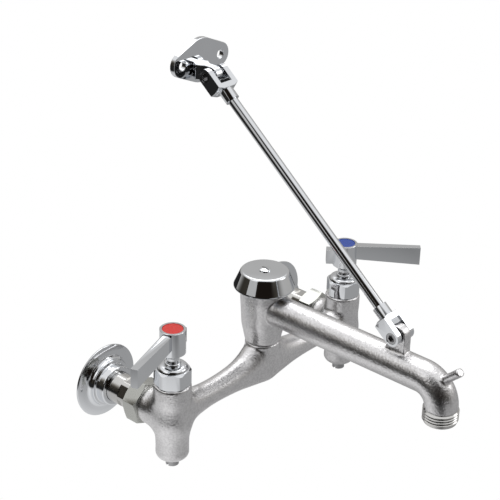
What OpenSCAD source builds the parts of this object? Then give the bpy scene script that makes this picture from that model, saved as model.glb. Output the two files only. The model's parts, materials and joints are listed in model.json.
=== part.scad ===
// Wall-mounted service sink faucet: twin valve body, vacuum-breaker spout and wall brace.
// Millimetres, +Z up. The wall is the plane Y=0, the front looks along -Y, hot is on -X.
// The origin lies on the wall, midway between the two inlet axes.

/* [Layout] */
// distance between the two inlet axes
inlet_pitch = 203.2; // [190:0.1:215]
// distance of the valve and riser axes from the wall
axis_out = 74.6; // [72:0.1:90]
// air gap between neighbouring pieces that do not touch
gap = 0.3; // [0.2:0.05:0.4]
// radial running fit of stems, pins and guides
fit = 0.06; // [0.02:0.01:0.1]
// extra length of a cutting tool past the face it cuts
over = 1; // [0.5:0.1:2]

/* [Escutcheon] */
// radius of the escutcheon disc
flange_r = 30; // [26:0.5:36]
// thickness of the disc at its rim
flange_edge = 1.6; // [1:0.1:3]
// thickness of the disc beside the hub
flange_t = 3.4; // [2:0.1:5]
// width of the sloped rim
flange_bevel = 3; // [1:0.1:6]
// radius of the lower hub step
hub_r = 17.3; // [16:0.1:20]
// height of the lower hub step
hub_h = 9.4; // [6:0.1:12]
// radius of the upper hub step
neck_r = 14.6; // [13.8:0.1:16]
// height of the upper hub step
neck_h = 15; // [11:0.1:20]
// corner chamfer of the hub steps
hub_chamfer = 0.9; // [0.3:0.1:1.5]
// depth of the hollow behind the escutcheon
flange_hollow = 1.2; // [0.5:0.1:1.4]

/* [Inlet shank] */
// outer radius of the shank
shank_r = 12.3; // [11.5:0.1:13]
// radius of the female pipe thread of the supply
supply_r = 9.2; // [8.5:0.1:9.6]
// depth of the supply thread
supply_depth = 17; // [12:0.5:22]
// radius of the water way
way_r = 7.2; // [6:0.1:8]
// width across the wrench flats
shank_flats = 22.6; // [21:0.1:24]
// start of the wrench flats from the wall
flats_from = 26.6; // [24:0.1:28]
// length of the wrench flats
flats_long = 9; // [6:0.1:10]
// radius of the shoulder held by the nut
tail_r = 13.2; // [12.9:0.05:13.3]
// thickness of that shoulder
tail_t = 2.8; // [2:0.1:4]

/* [Coupling nut] */
// width across flats
nut_af = 31.75; // [29:0.05:36]
// distance of the rear nut face from the wall
nut_from = 37.2; // [36:0.1:40]
// width of the nut along the inlet
nut_w = 13.8; // [12:0.1:16]
// thickness of the lip behind the shoulder
nut_lip = 3; // [2:0.1:4]
// radius of the coupling thread on the body
thread_r = 13.4; // [13:0.05:14]
// turn of the nut about its axis
nut_turn = 43; // [0:1:60]
// thickness of the coupling washer
washer_t = 2; // [1:0.1:3]

/* [Valve body] */
// outer radius of the barrel above the inlet
barrel_r = 14.5; // [13.5:0.1:17]
// height of the barrel rim above the inlet axis
barrel_top = 28.6; // [26:0.1:32]
// radius of the round belly at the inlet
belly_r = 15.3; // [14.6:0.1:18]
// outer radius of the lower barrel
low_r = 13.1; // [12:0.1:15]
// drop of the lower barrel end below the inlet axis
low_end = 36.8; // [34:0.1:40]
// rounding of the lower barrel end
low_round = 6; // [3:0.1:7]
// radius of the inlet spud
spud_r = 15; // [14:0.1:17]
// radius of the bridge arms at mid length
arm_r = 10.3; // [9:0.1:12]
// height of the bridge arms above the inlet axis
arm_z = 2.4; // [0:0.1:6]
// radius of the arms where they enter the barrels
arm_root_r = 12.6; // [11:0.1:14]
// length of the flare at each barrel
arm_flare = 22; // [14:0.5:30]
// thickness of the rising shoulders
rise_t = 10.6; // [8:0.1:14]
// distance from the centre where a shoulder starts
rise_from = 60; // [40:0.5:70]
// height where the shoulders meet the riser
rise_top = 24; // [16:0.1:25]
// outer radius of the riser
riser_r = 14; // [12.5:0.1:16]
// height of the riser seam above the inlet axis
riser_top = 25.4; // [23:0.1:28]
// drop of the riser bottom below the inlet axis
riser_low = 12; // [9:0.1:15]
// rounding of the riser bottom
riser_round = 10; // [5:0.1:12]
// radius of the water way in the arms
arm_way = 6.2; // [5:0.1:7]
// radius of the sloping supply way
slope_way = 4.6; // [4:0.1:5]
// wall round the sloping supply way
slope_wall = 3; // [2:0.1:4]
// radius of the bonnet thread in the barrel
bonnet_bore = 11.2; // [10.5:0.05:12]
// radius of the cartridge chamber
chamber_r = 10.1; // [9.8:0.05:10.4]
// depth of the cartridge seat below the inlet axis
seat_z = 6.5; // [5:0.1:8]
// thickness of the web that carries the stop seat
web_t = 4; // [3:0.1:5]
// radius of the stop seat opening
port_r = 4.2; // [3.5:0.1:4.6]
// radius of the supply chamber
well_r = 8.7; // [8:0.1:9.5]
// depth of the supply chamber floor below the inlet axis
well_floor = 27; // [25:0.1:28]

/* [Bonnet] */
// width across the bonnet flats
bonnet_af = 25.6; // [24:0.1:28]
// radius that trims the bonnet corners
bonnet_r = 14.2; // [13:0.1:15]
// height of the bonnet shoulder above the inlet axis
bonnet_top = 41.7; // [39:0.1:44]
// height of the dome above the bonnet flats
dome_h = 3.6; // [2:0.1:5]
// radius of the dome top
dome_r = 7.6; // [6:0.1:9]
// lower end of the bonnet thread
bonnet_foot = 16.3; // [14:0.1:18]
// radius of the packing nut
pack_r = 6.4; // [5.8:0.1:7.5]
// height of the packing nut above the dome
pack_h = 2.2; // [1:0.1:4]
// depth of the packing nut in the bonnet
pack_in = 4.5; // [3:0.1:6]
// radius of the packing nut thread
pack_thread = 5.6; // [5.2:0.1:6]
// turn of the hot bonnet about its axis
bonnet_turn = 11; // [0:1:60]

/* [Cartridge] */
// radius of the ceramic discs
disc_r = 8; // [7:0.1:9]
// thickness of each ceramic disc
disc_t = 2.6; // [2:0.1:3]
// wall of the cartridge sleeve
sleeve_wall = 1.3; // [1:0.05:1.6]
// thickness of the seat gasket
gasket_t = 1.5; // [1:0.1:2]
// radius of the stem
stem_r = 3.9; // [3.4:0.05:4.2]
// thickness of the driver flange of the stem
driver_t = 2.4; // [2:0.1:3]
// height of the guide wall in the sleeve
guide_h = 5; // [3:0.1:6]

/* [Lever handle] */
// radius of the handle hub
hub_lever_r = 9.9; // [9:0.1:12]
// height of the hub top above the inlet axis
lever_top = 75.1; // [72:0.1:80]
// height of the hub bottom above the inlet axis
lever_low = 55.4; // [54:0.1:58]
// radius of the handle foot
foot_r = 5.1; // [4.8:0.1:6]
// height of the handle foot above the inlet axis
foot_z = 49.6; // [49:0.1:51]
// height of the foot below the chamfer
foot_h = 2.2; // [1.5:0.1:3]
// length of the lever from the hub axis
lever_long = 62; // [50:0.5:90]
// drop of the blade below the hub top
blade_drop = 1.6; // [1:0.1:3]
// height of the blade beside the hub
blade_root_h = 11.6; // [9:0.1:14]
// height of the blade at its tip
blade_tip_h = 15.3; // [12:0.1:18]
// thickness of the blade beside the hub
blade_root_t = 8; // [6:0.1:10]
// thickness of the blade at its tip
blade_tip_t = 5.6; // [4:0.1:8]
// length of the tail behind the hub axis
tail_long = 15.6; // [12:0.1:20]
// height of the underside of the tail
tail_low = 57.2; // [56:0.1:60]
// height of the tail itself
tail_h = 12; // [8:0.1:14]
// direction of the hot lever about its axis
hot_turn = 198.8; // [180:0.1:270]
// direction of the cold lever about its axis
cold_turn = -49; // [-90:0.1:0]
// radius of the coloured index
index_r = 8; // [6:0.1:9]
// thickness of the coloured index
index_t = 1.6; // [1:0.1:3]
// radius of the handle screw head
screw_head_r = 4; // [3.5:0.1:5]
// height of the handle screw head
screw_head_h = 3; // [2:0.1:4]
// radius of the handle screw shank
screw_r = 1.9; // [1.5:0.1:2]
// length of the handle screw in the stem
screw_long = 8; // [5:0.1:10]
// depth of the stem head in the hub
stem_head = 14; // [10:0.1:15]
// width across the stem square
stem_square = 5.6; // [5:0.1:6]

/* [Supply stop] */
// radius of the stop stem
stop_r = 5.15; // [4.8:0.05:5.2]
// drop of the stop stem end below the inlet axis
stop_end = 42.9; // [42:0.1:46]
// travel of the stop plug
stop_travel = 4.5; // [3:0.1:4.6]
// thickness of the stop plug
plug_t = 3.4; // [3:0.1:4]
// radius of the plug pivot
pivot_r = 2.2; // [1.5:0.1:2.5]
// length of the plug pivot
pivot_h = 4; // [3:0.1:5]
// width of the screwdriver slot
slot_w = 1.6; // [1:0.1:2]
// depth of the screwdriver slot
slot_d = 2; // [1:0.1:2.4]
// thickness of the stop sealing ring
stop_ring_t = 1.8; // [1.5:0.1:2]
// radius of the groove under the sealing ring
stop_groove_r = 3.7; // [3.4:0.1:4]
// drop of the sealing ring below the inlet axis
stop_ring_z = 33.5; // [32:0.1:34]

/* [Vacuum breaker] */
// radius of the housing at its widest
house_r = 18.7; // [17.5:0.1:21]
// height of the housing top above the inlet axis
house_top = 73; // [70:0.1:78]
// radius of the housing where it has flared out of the riser
house_knee_r = 17.2; // [16.8:0.1:18]
// height where the housing has flared out of the riser
house_knee = 40.5; // [40:0.1:42]
// height where the housing reaches its full width
house_wide = 63; // [60:0.1:66]
// wall of the housing
house_wall = 3.2; // [2.5:0.1:4]
// radius of the spigot on the riser
spigot_r = 10.6; // [10:0.1:11]
// height of the spigot top above the inlet axis
spigot_top = 38.2; // [36:0.1:39]
// height of the ledge that rides on the riser
ledge_top = 35; // [34:0.1:36]
// radius of the retaining ring
keep_r = 13.2; // [12.6:0.1:13.6]
// height of the retaining ring
keep_h = 2.9; // [2:0.1:3]
// thickness of the swivel seal
seal_t = 2.4; // [2:0.1:3]
// radius of the groove under the swivel seal
seal_groove_r = 8.6; // [8.4:0.1:9]
// height of the swivel seal above the seam
seal_up = 3.2; // [2:0.1:4]
// height of the breaker seat above the inlet axis
vseat_z = 40; // [39:0.1:41]
// thickness of the breaker seat
vseat_t = 2.6; // [2:0.1:3]
// radius of the breaker seat opening
vseat_r = 7.6; // [6:0.1:8]
// radius of the float discs
float_r = 10.4; // [9.5:0.1:11]
// thickness of the float discs
float_t = 2.2; // [2:0.1:3]
// lift of the float
float_travel = 3.5; // [2:0.1:4]
// height of the float above its seat
float_h = 19; // [18:0.1:20]
// radius of the float spindle
spindle_r = 2.6; // [2:0.1:3]
// thickness of the float gasket
float_gasket_t = 1.2; // [1:0.1:1.5]
// radius of the air opening
air_r = 8.6; // [7:0.1:9]
// thickness of the air seat
air_t = 3.4; // [3:0.1:4]
// radius of the cap post
post_r = 4.6; // [4:0.1:6]
// width of the ribs that carry post and guide
rib_w = 2.2; // [1.6:0.1:3]

/* [Breaker cap] */
// radius of the cap top
cap_top_r = 19.6; // [17:0.1:20]
// radius of the cap rim
cap_r = 24.2; // [22:0.1:27]
// height of the cap top above the inlet axis
cap_top = 86.8; // [83:0.1:90]
// height of the cap rim line above the inlet axis
cap_rim = 74.4; // [72:0.1:78]
// height of the upright rim band
cap_band = 1.3; // [0.8:0.1:3]
// wall of the cap
cap_wall = 1.4; // [1:0.1:2]
// corner chamfer of the cap
cap_chamfer = 1.6; // [0.5:0.1:2]
// radius of the cap screw head
cap_screw_r = 4.8; // [4:0.1:6]
// height of the cap screw head
cap_screw_h = 1.9; // [1.5:0.1:3]
// radius of the cap screw shank
cap_shank_r = 2; // [1.5:0.1:2.2]
// length of the cap screw shank
cap_shank = 10; // [8:0.5:12]

/* [Spout] */
// outer radius of the spout tube
tube_r = 12.6; // [12:0.1:15]
// height of the spout tube above the inlet axis
tube_z = 56.3; // [54:0.1:58]
// reach from the riser axis to the outlet axis
reach = 171.8; // [150:0.5:230]
// bend radius of the spout elbow
bend_r = 18.4; // [16:0.1:19]
// height of the outlet end above the inlet axis
outlet_z = 25.9; // [22:0.1:27]
// inner radius of the spout
bore_r = 9.6; // [8:0.1:10]
// outer radius of the hose thread
hose_r = 13.4; // [12.5:0.05:13.5]
// root radius of the hose thread
hose_root = 12.3; // [11.6:0.05:12.6]
// pitch of the hose thread
hose_pitch = 2.21; // [2:0.01:2.4]
// number of thread crests
hose_crests = 4; // [3:1:5]
// length of the smooth lead at the outlet end
hose_lead = 0.8; // [0.5:0.1:1.5]

/* [Pail hook] */
// width of the hook across the spout
hook_w = 8; // [6:0.1:10]
// thickness of the hook
hook_t = 6.4; // [5:0.1:8]
// length of the hook beyond the elbow
hook_long = 11.6; // [8:0.1:18]
// height of the hook axis above the bend centre
hook_up = 5.4; // [0:0.1:8]
// angle of the hook above the level
hook_tilt = 42; // [30:1:60]

/* [Wall brace] */
// thickness of the lug on the spout
lug_t = 8; // [6:0.1:9]
// half width of the lug
lug_r = 8; // [7:0.1:10]
// distance of the lug pin from the riser axis
lug_out = 130.2; // [110:0.5:150]
// height of the lug pin above the inlet axis
lug_z = 81.2; // [78:0.1:84]
// outer width of the lower fork
low_fork_w = 19.6; // [18:0.1:22]
// inner width of the lower fork
low_fork_gap = 10.4; // [9:0.1:11]
// outer width of the upper fork
up_fork_w = 21; // [19:0.1:24]
// inner width of the upper fork
up_fork_gap = 11.6; // [10:0.1:13]
// half height of the fork cheeks
cheek_r = 6.2; // [5.5:0.1:8]
// length from the pin to the inner end of the fork
fork_deep = 11.4; // [10:0.1:14]
// thickness of the fork base
fork_base = 4.6; // [3.5:0.1:6]
// radius of the fork neck
fork_neck_r = 5.6; // [5:0.1:7]
// length of the fork neck
fork_neck = 9; // [7:0.1:12]
// radius of the brace rod
rod_r = 3.95; // [3:0.05:5]
// free thread for the length setting of the brace
rod_play = 3; // [2:0.1:4]
// radius of the pin screws
pin_r = 3.1; // [2.5:0.05:3.5]
// radius of the pin screw heads
pin_head_r = 4.4; // [4:0.05:5]
// height of the pin screw heads
pin_head_h = 2.6; // [2:0.1:3]
// width across the hex socket
socket_af = 5; // [4:0.1:5.2]
// depth of the hex socket
socket_d = 2.2; // [1.5:0.1:2.4]
// distance of the upper pin from the wall
up_pin_out = 17.5; // [15:0.1:22]
// height of the upper pin above the inlet axis
up_pin_z = 232; // [200:0.5:280]
// rise of the plate centre above the upper pin
plate_rise = 8; // [0:0.1:10]
// thickness of the wall plate
plate_t = 4.4; // [3:0.1:6]
// radius of the plate round its centre
plate_r = 17.5; // [15:0.1:22]
// radius of the plate ends
plate_end_r = 9.4; // [8:0.1:12]
// spacing of the two wall screws
plate_pitch = 41.3; // [38:0.1:50]
// radius of the wall screw holes
plate_hole_r = 3.5; // [3:0.05:4]
// thickness of the plate tongue
tongue_t = 6.6; // [6:0.1:9]
// half height of the tongue end
tongue_r = 6; // [5:0.1:7]
// width of the tongue at the plate
tongue_root = 14; // [10:0.1:18]

/* [Hidden] */
$fn = 48;

// unit shapes and shares
hot = -1;
cold = 1;
half = 1 / 2;
full = 360;
quarter = 90;
rise_foot_share = 0.85;
rise_sink_share = 0.8;
cast = [0.74, 0.75, 0.77];
polished = [0.86, 0.87, 0.89];
brass = [0.78, 0.66, 0.36];
rubber = [0.12, 0.12, 0.13];
ceramic = [0.93, 0.92, 0.89];
steel = [0.6, 0.6, 0.62];

// derived places along an inlet, measured out from the wall
tail_from = nut_from + nut_lip + gap;
tail_to = tail_from + tail_t;
spud_end = tail_to + washer_t;
nut_to = nut_from + nut_w;
shoulder_from = nut_to + gap;

// derived heights in a valve
gasket_top = -seat_z + gasket_t;
disc_top = gasket_top + disc_t;
moving_low = disc_top + fit;
moving_top = moving_low + disc_t;
driver_top = moving_top + driver_t;
sleeve_r = chamber_r - gap;
sleeve_in = sleeve_r - sleeve_wall;
sleeve_top = bonnet_foot - gap;
dome_top = bonnet_top + dome_h;
pack_top = dome_top + pack_h;
hub_floor = foot_z + stem_head + gap;
index_low = lever_top - index_t;
screw_seat = index_low - screw_head_h - gap;
web_low = -seat_z - web_t;
plug_top = web_low - stop_travel;
plug_low = plug_top - plug_t;
stop_top = plug_low - gap;

// derived heights in the vacuum breaker
seal_z = riser_top + seal_up;
spout_low = riser_top + gap;
keep_low = ledge_top + gap;
house_in = house_r - house_wall;
vseat_top = vseat_z + vseat_t;
float_low = vseat_top + gap;
float_top = float_low + float_h;
air_low = float_top + float_gasket_t + float_travel + gap;
air_top = air_low + air_t;
post_top = cap_top - cap_wall;
outlet_y = axis_out + reach;
hose_top = outlet_z + hose_lead + hose_pitch * (hose_crests + half);
bend_z = tube_z - bend_r;

// derived places of the brace
lug_y = axis_out + lug_out;
brace_run = lug_y - up_pin_out;
brace_rise = up_pin_z - lug_z;
brace_long = sqrt(brace_run * brace_run + brace_rise * brace_rise);
brace_tilt = atan2(brace_rise, brace_run);
fork_shoulder = fork_deep + fork_base;
fork_end = fork_shoulder + fork_neck;
plate_z = up_pin_z + plate_rise;

module post(r, low, high) {
    translate([0, 0, low]) cylinder(r = r, h = high - low);
}

module ring(r, inner, low, high) {
    difference() {
        post(r, low, high);
        post(inner, low - over, high + over);
    }
}

module at_valve(side) {
    translate([side * inlet_pitch * half, -axis_out, 0]) children();
}

module at_inlet(side) {
    translate([side * inlet_pitch * half, 0, 0]) rotate([quarter, 0, 0]) children();
}

module at_riser() {
    translate([0, -axis_out, 0]) children();
}

module along_x() {
    rotate([0, quarter, 0]) children();
}

module hex_bar(flats, low, high) {
    translate([0, 0, low]) cylinder(r = flats / sqrt(3), h = high - low, $fn = 6);
}

module block(x, y, low, high) {
    translate([-x * half, -y * half, low]) cube([x, y, high - low]);
}

module escutcheon(side) {
    bore = shank_r + gap;
    color(polished) at_inlet(side) rotate_extrude() polygon([
        [bore, flange_hollow], [flange_r - flange_bevel, flange_hollow],
        [flange_r - flange_bevel, 0], [flange_r, 0], [flange_r, flange_edge],
        [flange_r - flange_bevel, flange_t], [hub_r, flange_t],
        [hub_r, hub_h - hub_chamfer], [hub_r - hub_chamfer, hub_h], [neck_r, hub_h],
        [neck_r, neck_h - hub_chamfer], [neck_r - hub_chamfer, neck_h], [bore, neck_h]]);
}

module shank(side) {
    color(polished) at_inlet(side) difference() {
        union() {
            post(shank_r, 0, flats_from);
            intersection() {
                post(shank_r, flats_from - over, flats_from + flats_long + over);
                hex_bar(shank_flats, flats_from - over, flats_from + flats_long + over);
            }
            post(shank_r, flats_from + flats_long, tail_to);
            post(tail_r, tail_from, tail_to);
        }
        post(way_r, -over, tail_to + over);
        post(supply_r, -over, supply_depth);
    }
}

module coupling_nut(side) {
    color(polished) at_inlet(side) difference() {
        intersection() {
            rotate([0, 0, -side * nut_turn]) hex_bar(nut_af, nut_from, nut_to);
            rotate_extrude() polygon([
                [0, nut_from], [nut_af * half, nut_from],
                [nut_af / sqrt(3), nut_from + hub_chamfer],
                [nut_af / sqrt(3), nut_to - hub_chamfer],
                [nut_af * half, nut_to], [0, nut_to]]);
        }
        post(shank_r + gap, nut_from - over, nut_to);
        post(thread_r, nut_from + nut_lip, nut_to + over);
    }
}

module washer(side) {
    color(rubber) at_inlet(side) ring(tail_r - gap, way_r + gap, tail_to, spud_end);
}

module barrel_solid() {
    rotate_extrude() polygon(concat(
        [[0, barrel_top], [barrel_r - hub_chamfer, barrel_top],
         [barrel_r, barrel_top - hub_chamfer], [barrel_r, 0], [low_r, 0]],
        [for (a = [0:15:quarter]) [low_r - low_round + low_round * cos(a),
            -low_end + low_round - low_round * sin(a)]],
        [[0, -low_end]]));
    sphere(r = belly_r);
}

module slope_bar(r) {
    drop = well_floor - web_t;
    start = axis_out - shoulder_from;
    translate([0, start, -web_t])
        rotate([quarter + atan2(drop - web_t, start), 0, 0])
            cylinder(r = r, h = start);
}

module arm_solid() {
    span = inlet_pitch * half;
    root_at = span - belly_r;
    flare_at = root_at - arm_flare;
    translate([0, 0, arm_z]) along_x() rotate_extrude() polygon([
        [0, -span], [arm_root_r, -span], [arm_root_r, -root_at], [arm_r, -flare_at],
        [arm_r, flare_at], [arm_root_r, root_at], [arm_root_r, span], [0, span]]);
    foot = arm_z + arm_r * rise_foot_share;
    inner = riser_r * rise_sink_share;
    translate([0, rise_t * half, 0]) rotate([quarter, 0, 0]) linear_extrude(height = rise_t)
        polygon(concat([[-rise_from, arm_z], [rise_from, arm_z]],
            [for (a = [0:10:quarter]) [rise_from - (rise_from - inner) * sin(a),
                rise_top - (rise_top - foot) * cos(a)]],
            [for (a = [quarter:-10:0]) [-rise_from + (rise_from - inner) * sin(a),
                rise_top - (rise_top - foot) * cos(a)]]));
}

module valve_side(side) {
    at_valve(side) barrel_solid();
    at_inlet(side) post(spud_r, shoulder_from, axis_out);
    at_inlet(side) post(thread_r - gap, spud_end, shoulder_from + over);
    intersection() {
        at_valve(side) slope_bar(slope_way + slope_wall);
        at_inlet(side) post(axis_out, shoulder_from, axis_out * 2);
    }
}

module valve_side_cuts(side) {
    at_valve(side) {
        post(bonnet_bore, bonnet_foot - gap, barrel_top + over);
        post(chamber_r, -seat_z, barrel_top);
        post(port_r, web_low - over, 0);
        post(well_r, -well_floor, web_low);
        post(stop_r + fit, -low_end - over, -well_floor + over);
        slope_bar(slope_way);
    }
    at_inlet(side) post(way_r, spud_end - over, shoulder_from + slope_way);
}

module valve_body() {
    color(cast) difference() {
        union() {
            for (side = [hot, cold]) valve_side(side);
            at_riser() arm_solid();
            at_riser() rotate_extrude() polygon(concat(
                [[0, riser_top], [riser_r, riser_top]],
                [for (a = [0:15:quarter]) [riser_r - riser_round + riser_round * cos(a),
                    -riser_low + riser_round - riser_round * sin(a)]],
                [[0, -riser_low]]));
            at_riser() post(spigot_r, riser_top - over, spigot_top);
        }
        for (side = [hot, cold]) valve_side_cuts(side);
        at_riser() translate([0, 0, arm_z]) along_x()
            post(arm_way, -inlet_pitch * half, inlet_pitch * half);
        at_riser() post(way_r, arm_z - arm_way, spigot_top + over);
        at_riser() ring(spigot_r + over, seal_groove_r, seal_z, seal_z + seal_t);
    }
}

module swivel_seal() {
    color(rubber) at_riser()
        ring(spigot_r + gap - fit, seal_groove_r, seal_z, seal_z + seal_t);
}

module retaining_ring() {
    color(brass) at_riser() ring(keep_r, spigot_r, keep_low, keep_low + keep_h);
}

module bonnet(side) {
    turn = side == hot ? bonnet_turn : -bonnet_turn;
    color(polished) at_valve(side) difference() {
        union() {
            intersection() {
                rotate([0, 0, turn]) hex_bar(bonnet_af, barrel_top, dome_top);
                rotate_extrude() polygon([
                    [0, barrel_top], [bonnet_r - hub_chamfer, barrel_top],
                    [bonnet_r, barrel_top + hub_chamfer], [bonnet_r, bonnet_top - hub_chamfer],
                    [bonnet_af * half, bonnet_top],
                    [(bonnet_af * half + dome_r) * half + hub_chamfer, bonnet_top + dome_h * half],
                    [dome_r, dome_top], [0, dome_top]]);
            }
            post(bonnet_bore - fit, bonnet_foot, barrel_top + over);
        }
        post(stem_r + gap, bonnet_foot - over, dome_top + over);
        post(pack_thread + fit, dome_top - pack_in, dome_top + over);
    }
}

module packing_nut(side) {
    color(brass) at_valve(side) difference() {
        union() {
            post(pack_r, dome_top, pack_top);
            post(pack_thread, dome_top - pack_in, dome_top + over);
        }
        post(stem_r + fit, dome_top - pack_in - over, pack_top + over);
    }
}

module sleeve(side) {
    window = sleeve_r * 2;
    color(brass) at_valve(side) difference() {
        post(sleeve_r, gasket_top, sleeve_top);
        post(disc_r + fit, gasket_top - over, driver_top + gap);
        post(sleeve_in, driver_top, sleeve_top - guide_h);
        post(stem_r + fit, 0, sleeve_top + over);
        for (a = [0, quarter]) rotate([0, 0, a])
            block(window, stem_r * 2, moving_top, driver_top + gap);
    }
}

module disc_openings(low, high) {
    inner = disc_r / 4;
    for (a = [0, full * half]) rotate([0, 0, a]) intersection() {
        ring(disc_r - over, inner, low - over, high + over);
        translate([0, 0, low - over]) cube([disc_r, disc_r, high - low + over * 2]);
    }
}

module fixed_disc(side) {
    color(ceramic) at_valve(side) difference() {
        post(disc_r, gasket_top, disc_top);
        disc_openings(gasket_top, disc_top);
    }
}

module seat_gasket(side) {
    color(rubber) at_valve(side) ring(sleeve_r, disc_r - over, -seat_z, gasket_top);
}

module moving_disc(side, turn) {
    color(ceramic) at_valve(side) rotate([0, 0, turn]) difference() {
        post(disc_r, moving_low, moving_top);
        disc_openings(moving_low, moving_top);
    }
}

module stem(side, turn) {
    neck_top = foot_z + stem_head;
    color(brass) at_valve(side) rotate([0, 0, turn]) difference() {
        union() {
            difference() {
                post(disc_r, moving_top, driver_top);
                disc_openings(moving_top, driver_top);
            }
            post(stem_r, moving_top, foot_z);
            block(stem_square, stem_square, foot_z - over, neck_top);
        }
        post(screw_r, neck_top - screw_long, neck_top + over);
    }
}

module blade_outline() {
    top = lever_top - blade_drop;
    polygon([[0, top], [lever_long, top], [lever_long, top - blade_tip_h],
        [hub_lever_r, top - blade_root_h], [0, top - blade_root_h]]);
}

module blade_plan() {
    polygon([[0, -blade_root_t * half], [lever_long, -blade_tip_t * half],
        [lever_long, blade_tip_t * half], [0, blade_root_t * half]]);
}

module lever(side, turn) {
    chamfer_low = foot_z + foot_h;
    color(polished) at_valve(side) rotate([0, 0, turn]) difference() {
        union() {
            rotate_extrude() polygon([
                [0, foot_z], [foot_r, foot_z], [foot_r, chamfer_low],
                [hub_lever_r, lever_low], [hub_lever_r, lever_top - gap],
                [hub_lever_r - gap, lever_top], [0, lever_top]]);
            intersection() {
                translate([0, blade_root_t, 0]) rotate([quarter, 0, 0])
                    linear_extrude(height = blade_root_t * 2) blade_outline();
                linear_extrude(height = lever_top) blade_plan();
            }
            translate([-tail_long * half, 0, 0])
                block(tail_long, blade_root_t, tail_low, tail_low + tail_h);
        }
        block(stem_square + fit * 2, stem_square + fit * 2, foot_z - over, hub_floor);
        post(screw_r + gap, hub_floor - over, lever_top);
        post(screw_head_r + gap, screw_seat, lever_top);
        post(index_r + fit, index_low, lever_top + over);
    }
}

module lever_screw(side) {
    color(steel) at_valve(side) difference() {
        union() {
            post(screw_head_r, screw_seat, screw_seat + screw_head_h);
            post(screw_r, foot_z + stem_head - screw_long + gap, screw_seat + over);
        }
        hex_bar(screw_r * 2, screw_seat + screw_head_h * half, screw_seat + screw_head_h + over);
    }
}

module index(side, tint) {
    color(tint) at_valve(side) post(index_r, index_low, lever_top - gap);
}

module stop_plug(side) {
    color(rubber) at_valve(side) difference() {
        post(stop_r, plug_low, plug_top);
        post(pivot_r + fit, plug_low - over, plug_low + plug_t - over);
    }
}

module stop_stem(side) {
    color(steel) at_valve(side) difference() {
        union() {
            post(stop_r, -stop_end, stop_top);
            post(pivot_r, stop_top - over, plug_low + plug_t - over - gap);
        }
        ring(stop_r + over, stop_groove_r, -stop_ring_z, -stop_ring_z + stop_ring_t);
        block(stop_r * 3, slot_w, -stop_end - over, -stop_end + slot_d);
    }
}

module stop_ring(side) {
    color(rubber) at_valve(side)
        ring(stop_r, stop_groove_r, -stop_ring_z, -stop_ring_z + stop_ring_t);
}

module house_solid() {
    translate([0, 0, spout_low])
        cylinder(r1 = riser_r, r2 = house_knee_r, h = house_knee - spout_low);
    translate([0, 0, house_knee])
        cylinder(r1 = house_knee_r, r2 = house_r, h = house_wide - house_knee);
    post(house_r, house_wide, house_top);
}

module spout_path(r, low) {
    translate([0, -axis_out - house_in * half, tube_z]) rotate([quarter, 0, 0])
        cylinder(r = r, h = reach - bend_r - house_in * half);
    translate([0, -outlet_y + bend_r, bend_z]) rotate([0, 0, quarter * 2])
        rotate([0, -quarter, 0]) rotate_extrude(angle = quarter)
            translate([bend_r, 0]) circle(r = r);
    translate([0, -outlet_y, 0]) post(r, low, bend_z);
}

module hose_thread() {
    crest = hose_pitch / 8;
    translate([0, -outlet_y, 0]) {
        post(hose_root, outlet_z, hose_top);
        for (i = [0:1:hose_crests - 1])
            translate([0, 0, outlet_z + hose_lead + hose_pitch * i]) rotate_extrude() polygon([
                [0, 0], [hose_root, 0], [hose_r, hose_pitch * half - crest],
                [hose_r, hose_pitch * half + crest], [hose_root, hose_pitch], [0, hose_pitch]]);
    }
}

module pail_hook() {
    translate([0, -outlet_y + bend_r, bend_z + hook_up]) rotate([-hook_tilt, 0, 0])
        translate([0, -bend_r, 0]) rotate([quarter, 0, 0]) {
            for (s = [hot, cold]) translate([s * (hook_w - hook_t) * half, 0, 0])
                cylinder(r = hook_t * half, h = tube_r + hook_long);
            block(hook_w - hook_t, hook_t, 0, tube_r + hook_long);
        }
}

module lug() {
    translate([0, -lug_y, 0]) {
        block(lug_t, lug_r * 2, tube_z, lug_z);
        translate([0, 0, lug_z]) along_x() post(lug_r, -lug_t * half, lug_t * half);
    }
}

module spout() {
    color(cast) difference() {
        union() {
            at_riser() house_solid();
            spout_path(tube_r, hose_top);
            hose_thread();
            pail_hook();
            lug();
        }
        at_riser() {
            post(spigot_r + gap, spout_low - over, ledge_top + over);
            post(house_in - house_wall * half, ledge_top, vseat_z);
            post(house_in, vseat_z, house_top + over);
        }
        spout_path(bore_r, outlet_z - over);
        translate([0, -lug_y, lug_z]) along_x() post(pin_r + fit, -lug_t, lug_t);
    }
}

module three_ribs(inner, outer, low, high) {
    for (a = [0, full / 3, -full / 3]) rotate([0, 0, a])
        translate([-rib_w * half, inner, low]) cube([rib_w, outer - inner, high - low]);
}

module breaker_seat() {
    color(brass) at_riser() difference() {
        union() {
            ring(house_in, vseat_r, vseat_z, vseat_top);
            post(spindle_r * 2, vseat_z, vseat_top);
            three_ribs(0, vseat_r + over, vseat_z, vseat_top);
        }
        post(spindle_r + fit, vseat_z - over, vseat_top + over);
    }
}

module breaker_float() {
    color(brass) at_riser() {
        post(float_r, float_low, float_low + float_t);
        post(spindle_r, spigot_top, float_top);
        post(float_r, float_top - float_t, float_top);
    }
}

module float_gasket() {
    color(rubber) at_riser() post(float_r, float_top, float_top + float_gasket_t);
}

module air_seat() {
    color(brass) at_riser() difference() {
        union() {
            ring(house_in, air_r, air_low, air_top);
            post(post_r, air_low, post_top);
            three_ribs(0, air_r + over, air_low, air_top);
        }
        post(cap_shank_r, post_top - cap_shank, post_top + over);
    }
}

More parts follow.
